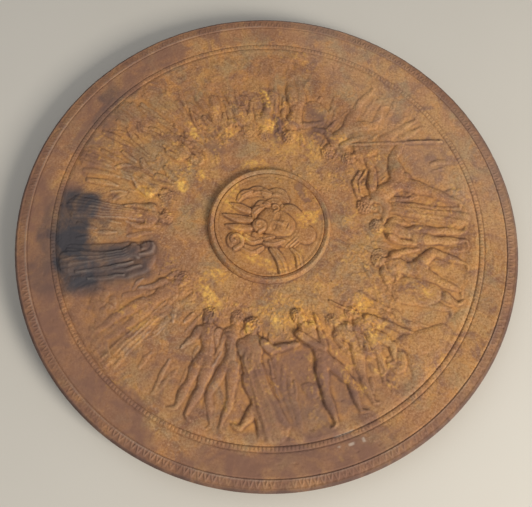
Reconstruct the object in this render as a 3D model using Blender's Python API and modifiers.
"""Cast-iron relief charger: a round display dish with a bolted-on portrait medallion and a wall hanger.

Metres, +Z up.  The origin is the centre of the dish in the plane that it rests on.
-X points to the top of the dish as it hangs, where the hanging ring is.
"""
import bmesh
import bpy
from math import cos, pi, radians, sin

# Driving dimensions -------------------------------------------------------------------------
RADIUS = 0.230                # outer radius of the dish
RIM_HEIGHT = 0.024            # top of the lip above the resting plane
WALL = 0.0042                 # casting thickness under the field and the band
GAP = 0.0003                  # clearance between pieces that touch
CUT_MARGIN = 0.002            # how far a cutter passes the face that it enters

# Dish, front face: radii as shares of RADIUS, depths below the top of the lip
LIP_INNER_RADIUS = 0.9525 * RADIUS
BEAD_OUTER_RADIUS = 0.8665 * RADIUS
BEAD_INNER_RADIUS = 0.8450 * RADIUS
FIELD_INNER_RADIUS = 0.2500 * RADIUS
SEAT_RADIUS = 0.2220 * RADIUS
BAND_OUTER_DEPTH = 0.0011
BEAD_OUTER_DEPTH = 0.0033
BEAD_RISE = 0.0012
FIELD_INNER_DEPTH = 0.0076
MOULDING_DEPTH = 0.0018       # crest of the raised ring round the medallion
SEAT_DEPTH = 0.0074           # floor of the medallion's seat

# Dish, lip and foot
LIP_DEPTH = 0.0106
LIP_THICKNESS = 0.0052
LIP_TOP_ROUND = 0.0036
LIP_STEP = 0.0012             # width of the slope that climbs from the band to the lip
LIP_CROWN = 0.0002            # rise of the lip's top across its width
LIP_BOTTOM_ROUND = 0.0016
FOOT_RADIUS = 0.126
FOOT_WIDTH = 0.006
FOOT_DRAFT = 0.0015
DISH_STEPS = 80

# Medallion and what holds it
MEDALLION_GROUND_DEPTH = 0.0032
MEDALLION_CROWN = 0.0022      # crown of the portrait above the top of the lip
MEDALLION_EDGE = 0.0030       # width of the flat margin round the crowned part
STUD_RADIUS = 0.003
STUD_GRIP = 0.005             # length of the stud inside the medallion
STUD_TIP_HEIGHT = 0.0015
WASHER_RADIUS = 0.008
WASHER_THICKNESS = 0.0016
NUT_WIDTH = 0.010
NUT_THICKNESS = 0.005
DOWEL_OFFSET = 0.034
DOWEL_RADIUS = 0.002
DOWEL_GRIP = 0.0025           # length of the dowel in each casting

# Hanger, with its hinge axis along Y
HINGE_X = -0.170
HINGE_Z = 0.006
RING_WIRE_RADIUS = 0.002
RING_HALF_WIDTH = 0.0152
RING_ARM = 0.008
RING_CORNER = 0.003
RING_DROOP = radians(9)       # the ring lies on the surface that the dish stands on
STRAP_THICKNESS = 0.0018
STRAP_WIDTH = 0.024
STRAP_LENGTH = 0.024
EYE_CLEARANCE = 0.0004
EYE_TURN = 285
PAD_LENGTH = 0.026
PAD_WIDTH = 0.030
PAD_CENTRE_X = -0.153
SCREW_REACH = 0.013           # distance of the screws from the hinge axis
SCREW_SPACING = 0.013
SCREW_RADIUS = 0.0025
SCREW_LENGTH = 0.0075
SCREW_HEAD_RADIUS = 0.004
SCREW_HEAD_HEIGHT = 0.0028
SLOT_WIDTH = 0.0012
SLOT_DEPTH = 0.0012

# Worked out from the dimensions above ---------------------------------------------------------
EYE_INNER = RING_WIRE_RADIUS + EYE_CLEARANCE
EYE_OUTER = EYE_INNER + STRAP_THICKNESS
STRAP_TOP = HINGE_Z + EYE_OUTER
STRAP_BOTTOM = HINGE_Z + EYE_INNER
PAD_FACE = STRAP_TOP + GAP
SEAT_FLOOR = RIM_HEIGHT - SEAT_DEPTH
BACK_FLOOR = RIM_HEIGHT - FIELD_INNER_DEPTH - WALL
MEDALLION_BASE = SEAT_FLOOR + GAP

IRON = {"rust": (0.30, 0.17, 0.10), "dark_rust": (0.20, 0.12, 0.08), "forged": (0.13, 0.09, 0.07)}


def clear_scene():
    for item in list(bpy.data.objects):
        bpy.data.objects.remove(item, do_unlink=True)


def new_collection(name):
    collection = bpy.data.collections.new(name)
    bpy.context.scene.collection.children.link(collection)
    return collection


def iron_material(name, colour, roughness):
    material = bpy.data.materials.new(name)
    material.use_nodes = True
    shader = material.node_tree.nodes["Principled BSDF"]
    shader.inputs["Base Color"].default_value = (*colour, 1.0)
    shader.inputs["Metallic"].default_value = 0.35
    shader.inputs["Roughness"].default_value = roughness
    return material


def place(item, name, collection, colour, roughness=0.75, smooth_angle=35):
    """Name an object, give it a material of its own and file it in the dish's collection."""
    item.name = name
    item.data.name = name
    for owner in list(item.users_collection):
        owner.objects.unlink(item)
    collection.objects.link(item)
    item.data.materials.clear()
    item.data.materials.append(iron_material(name, IRON[colour], roughness))
    if item.type == "MESH":
        item.data.shade_smooth()
        item.data.set_sharp_from_angle(angle=radians(smooth_angle))
    return item


def arc(centre, radius, start, end, steps):
    """Points on an arc in the XZ plane, angles in degrees."""
    points = []
    for step in range(steps + 1):
        angle = radians(start + (end - start) * step / steps)
        points.append((centre[0] + radius * cos(angle), centre[1] + radius * sin(angle)))
    return points


def turned(name, profile, steps, closed):
    """Turn a profile of (radius, height) points round Z; it runs down its outer side."""
    mesh = bpy.data.meshes.new(name)
    edges = [(index, index + 1) for index in range(len(profile) - 1)]
    if closed:
        edges.append((len(profile) - 1, 0))
    mesh.from_pydata([(radius, 0.0, height) for radius, height in profile], edges, [])
    item = bpy.data.objects.new(name, mesh)
    bpy.context.scene.collection.objects.link(item)
    screw = item.modifiers.new("turn", "SCREW")
    screw.steps = steps
    screw.render_steps = steps
    screw.use_merge_vertices = True
    screw.merge_threshold = 0.00001
    return item


def cylinder(radius, bottom, top, x=0.0, y=0.0, sides=24):
    bpy.ops.mesh.primitive_cylinder_add(
        vertices=sides, radius=radius, depth=top - bottom, location=(x, y, (bottom + top) / 2))
    return bpy.context.object


def box(size, centre):
    bpy.ops.mesh.primitive_cube_add(size=1.0, location=centre)
    item = bpy.context.object
    item.scale = size
    bpy.ops.object.transform_apply(location=False, rotation=False, scale=True)
    return item


def combine(target, tool, operation, cutters):
    """Cut a tool from a target, or join it to the target, with a Boolean modifier."""
    tool.name = f"{target.name}_{operation.lower()}_tool"
    for owner in list(tool.users_collection):
        owner.objects.unlink(tool)
    cutters.objects.link(tool)
    tool.hide_render = True
    tool.display_type = "WIRE"
    modifier = target.modifiers.new(operation.lower(), "BOOLEAN")
    modifier.operation = operation
    modifier.object = tool


def field_depth(radius):
    """Depth of the relief field's ground below the top of the lip."""
    share = (BEAD_OUTER_RADIUS - radius) / (BEAD_OUTER_RADIUS - FIELD_INNER_RADIUS)
    return BEAD_OUTER_DEPTH + (FIELD_INNER_DEPTH - BEAD_OUTER_DEPTH) * share


def front_profile():
    """The face of the dish, from the stud hole outwards to the groove inside the lip."""
    seat_top = RIM_HEIGHT - MOULDING_DEPTH
    crest_width = FIELD_INNER_RADIUS - SEAT_RADIUS
    crest = arc((SEAT_RADIUS + crest_width / 2, seat_top - crest_width / 2), crest_width / 2, 180, 0, 6)
    bead_width = BEAD_OUTER_RADIUS - BEAD_INNER_RADIUS
    bead_floor = RIM_HEIGHT - field_depth(BEAD_INNER_RADIUS)
    points = [(STUD_RADIUS + GAP, SEAT_FLOOR), (SEAT_RADIUS, SEAT_FLOOR)]
    points += crest
    points += [(FIELD_INNER_RADIUS, RIM_HEIGHT - FIELD_INNER_DEPTH)]
    for step in range(5):
        share = step / 4
        points.append((BEAD_INNER_RADIUS + bead_width * share, bead_floor + BEAD_RISE * sin(pi * share)))
    points += [(LIP_INNER_RADIUS, RIM_HEIGHT - BAND_OUTER_DEPTH)]
    return points


def lip_profile():
    """The thickened lip: over its top, down the outer wall and back under it."""
    top = (RADIUS - LIP_TOP_ROUND, RIM_HEIGHT - LIP_TOP_ROUND)
    bottom = (RADIUS - LIP_BOTTOM_ROUND, RIM_HEIGHT - LIP_DEPTH + LIP_BOTTOM_ROUND)
    inside = RADIUS - LIP_THICKNESS
    points = [(LIP_INNER_RADIUS + LIP_STEP, RIM_HEIGHT - LIP_CROWN)]
    points += arc(top, LIP_TOP_ROUND, 90, 0, 6)
    points += arc(bottom, LIP_BOTTOM_ROUND, 0, -90, 4)
    points += [(inside, RIM_HEIGHT - LIP_DEPTH)]
    points += [(inside - LIP_BOTTOM_ROUND, RIM_HEIGHT - LIP_DEPTH + LIP_BOTTOM_ROUND)]
    return points


def back_profile():
    """The back of the dish, from the lip inwards, with its turned foot ring."""
    foot_outer = FOOT_RADIUS + FOOT_WIDTH / 2
    foot_inner = FOOT_RADIUS - FOOT_WIDTH / 2
    points = [(LIP_INNER_RADIUS, RIM_HEIGHT - BAND_OUTER_DEPTH - WALL)]
    points += [(BEAD_OUTER_RADIUS, RIM_HEIGHT - BEAD_OUTER_DEPTH - WALL)]
    root = foot_outer + FOOT_DRAFT
    points += [(root, RIM_HEIGHT - field_depth(root) - WALL)]
    points += [(foot_outer, FOOT_DRAFT / 2), (foot_outer - FOOT_DRAFT / 2, 0.0)]
    points += [(foot_inner + FOOT_DRAFT / 2, 0.0), (foot_inner, FOOT_DRAFT / 2)]
    root = foot_inner - FOOT_DRAFT
    points += [(root, RIM_HEIGHT - field_depth(root) - WALL)]
    points += [(FIELD_INNER_RADIUS, BACK_FLOOR), (STUD_RADIUS + GAP, BACK_FLOOR)]
    return points


def make_dish(parts, cutters):
    """One casting: lip, plain band, bead row, relief field, medallion seat, foot ring and hanger pad."""
    profile = front_profile() + lip_profile() + back_profile()
    dish = place(turned("dish_casting", profile, DISH_STEPS, closed=True), "dish_casting", parts, "rust")
    pad_top = RIM_HEIGHT - field_depth(-PAD_CENTRE_X) - WALL / 2
    pad = box((PAD_LENGTH, PAD_WIDTH, pad_top - PAD_FACE), (PAD_CENTRE_X, 0.0, (pad_top + PAD_FACE) / 2))
    combine(dish, pad, "UNION", cutters)
    for side in (-1, 1):
        hole = cylinder(
            SCREW_RADIUS + GAP, PAD_FACE - CUT_MARGIN, STRAP_BOTTOM + SCREW_LENGTH,
            HINGE_X + SCREW_REACH, side * SCREW_SPACING / 2)
        combine(dish, hole, "DIFFERENCE", cutters)
    bore = cylinder(
        DOWEL_RADIUS + GAP, SEAT_FLOOR - DOWEL_GRIP - GAP, SEAT_FLOOR + CUT_MARGIN, 0.0, -DOWEL_OFFSET)
    combine(dish, bore, "DIFFERENCE", cutters)
    return dish


def make_medallion(parts, cutters):
    """The portrait roundel: a disc with a crowned face and blind holes in its back."""
    ground = RIM_HEIGHT - MEDALLION_GROUND_DEPTH
    crown = RIM_HEIGHT + MEDALLION_CROWN
    rim = SEAT_RADIUS - GAP
    crowned = rim - MEDALLION_EDGE
    profile = []
    for step in range(9):
        angle = pi / 2 * step / 8
        profile.append((crowned * sin(angle), ground + (crown - ground) * cos(angle)))
    profile += [(rim, ground), (rim, MEDALLION_BASE)]
    profile += [(STUD_RADIUS + GAP, MEDALLION_BASE)]
    profile += [(STUD_RADIUS + GAP, MEDALLION_BASE + STUD_GRIP + GAP)]
    profile += [(0.0, MEDALLION_BASE + STUD_GRIP + GAP)]
    item = turned("medallion_casting", profile, DISH_STEPS, closed=False)
    place(item, "medallion_casting", parts, "rust")
    bore = cylinder(
        DOWEL_RADIUS + GAP, MEDALLION_BASE - CUT_MARGIN, MEDALLION_BASE + DOWEL_GRIP + GAP,
        0.0, -DOWEL_OFFSET)
    combine(item, bore, "DIFFERENCE", cutters)
    return item


def make_medallion_fixings(parts, cutters):
    """The stud, washer and square nut that hold the medallion, and the dowel that keeps it upright."""
    stud = cylinder(STUD_RADIUS, STUD_TIP_HEIGHT, MEDALLION_BASE + STUD_GRIP)
    place(stud, "medallion_stud", parts, "forged")
    washer_top = BACK_FLOOR - GAP
    washer = cylinder(WASHER_RADIUS, washer_top - WASHER_THICKNESS, washer_top, sides=32)
    place(washer, "stud_washer", parts, "dark_rust")
    nut_top = washer_top - WASHER_THICKNESS - GAP
    nut = box((NUT_WIDTH, NUT_WIDTH, NUT_THICKNESS), (0.0, 0.0, nut_top - NUT_THICKNESS / 2))
    place(nut, "stud_nut", parts, "forged")
    for item in (washer, nut):
        combine(item, cylinder(STUD_RADIUS + GAP, 0.0, SEAT_FLOOR), "DIFFERENCE", cutters)
    dowel = cylinder(
        DOWEL_RADIUS, SEAT_FLOOR - DOWEL_GRIP, MEDALLION_BASE + DOWEL_GRIP, 0.0, -DOWEL_OFFSET, sides=16)
    place(dowel, "medallion_dowel", parts, "forged")


def strap_outline():
    """Side view of the strap from the hinge axis: a flat leg rolled into an eye at one end."""
    outer = arc((0.0, 0.0), EYE_OUTER, 90, 90 + EYE_TURN, 18)
    inner = arc((0.0, 0.0), EYE_INNER, 90 + EYE_TURN, 90, 18)
    return outer + inner + [(STRAP_LENGTH, EYE_INNER), (STRAP_LENGTH, EYE_OUTER)]


def filled_outline(name, points, thickness):
    """A flat outline, extruded to a thickness and turned into a welded mesh."""
    curve = bpy.data.curves.new(name, "CURVE")
    curve.dimensions = "2D"
    curve.fill_mode = "BOTH"
    curve.extrude = thickness / 2
    spline = curve.splines.new("POLY")
    spline.points.add(len(points) - 1)
    for target, (x, y) in zip(spline.points, points):
        target.co = (x, y, 0.0, 1.0)
    spline.use_cyclic_u = True
    outline = bpy.data.objects.new(name, curve)
    bpy.context.scene.collection.objects.link(outline)
    evaluated = outline.evaluated_get(bpy.context.evaluated_depsgraph_get())
    item = bpy.data.objects.new(name, weld(bpy.data.meshes.new_from_object(evaluated)))
    bpy.context.scene.collection.objects.link(item)
    bpy.data.objects.remove(outline)
    return item


def weld(mesh):
    """Join the loose caps of a filled curve to its sides."""
    shape = bmesh.new()
    shape.from_mesh(mesh)
    bmesh.ops.remove_doubles(shape, verts=shape.verts, dist=0.00001)
    bmesh.ops.recalc_face_normals(shape, faces=shape.faces)
    shape.to_mesh(mesh)
    shape.free()
    return mesh


def make_strap(parts, cutters):
    """The forged strap, bolted flat on the pad, whose eye holds the ring."""
    strap = filled_outline("hanger_strap", strap_outline(), STRAP_WIDTH)
    strap.location = (HINGE_X, 0.0, HINGE_Z)
    strap.rotation_euler = (pi / 2, 0.0, 0.0)
    place(strap, "hanger_strap", parts, "forged")
    for side in (-1, 1):
        hole = cylinder(
            SCREW_RADIUS + GAP, STRAP_BOTTOM - CUT_MARGIN, STRAP_TOP + CUT_MARGIN,
            HINGE_X + SCREW_REACH, side * SCREW_SPACING / 2)
        combine(strap, hole, "DIFFERENCE", cutters)


def make_screw(name, side, parts, cutters):
    """A cheese-headed machine screw that enters the pad from below."""
    x = HINGE_X + SCREW_REACH
    y = side * SCREW_SPACING / 2
    seat = STRAP_BOTTOM - GAP
    screw = cylinder(SCREW_HEAD_RADIUS, seat - SCREW_HEAD_HEIGHT, seat, x, y)
    place(screw, name, parts, "forged")
    shank = cylinder(SCREW_RADIUS, seat - SCREW_HEAD_HEIGHT / 2, seat + SCREW_LENGTH, x, y)
    combine(screw, shank, "UNION", cutters)
    slot = box((SLOT_WIDTH, 3 * SCREW_HEAD_RADIUS, 2 * SLOT_DEPTH), (x, y, seat - SCREW_HEAD_HEIGHT))
    combine(screw, slot, "DIFFERENCE", cutters)


def ring_path():
    """Centre line of the D-shaped ring, with its straight bar on the hinge axis."""
    bar = RING_HALF_WIDTH - RING_CORNER
    points = arc((RING_CORNER, -bar), RING_CORNER, 180, 270, 4)
    points += arc((RING_ARM, 0.0), RING_HALF_WIDTH, -90, 90, 20)
    points += arc((RING_CORNER, bar), RING_CORNER, 90, 180, 4)
    points += [(0.0, bar - 2 * bar * step / 5) for step in range(1, 5)]
    return points


def make_ring(parts):
    """The hanging ring, which swings in the strap's eye."""
    curve = bpy.data.curves.new("hanging_ring", "CURVE")
    curve.dimensions = "3D"
    curve.bevel_depth = RING_WIRE_RADIUS
    curve.bevel_resolution = 3
    spline = curve.splines.new("POLY")
    path = ring_path()
    spline.points.add(len(path) - 1)
    for target, (x, y) in zip(spline.points, path):
        target.co = (x, y, 0.0, 1.0)
    spline.use_cyclic_u = True
    ring = bpy.data.objects.new("hanging_ring", curve)
    bpy.context.scene.collection.objects.link(ring)
    ring.location = (HINGE_X, 0.0, HINGE_Z)
    ring.rotation_euler = (0.0, RING_DROOP, pi)
    place(ring, "hanging_ring", parts, "forged")


def main():
    clear_scene()
    parts = new_collection("relief_charger")
    cutters = new_collection("relief_charger_cutters")
    make_dish(parts, cutters)
    make_medallion(parts, cutters)
    make_medallion_fixings(parts, cutters)
    make_strap(parts, cutters)
    make_screw("hanger_screw_left", -1, parts, cutters)
    make_screw("hanger_screw_right", 1, parts, cutters)
    make_ring(parts)


main()
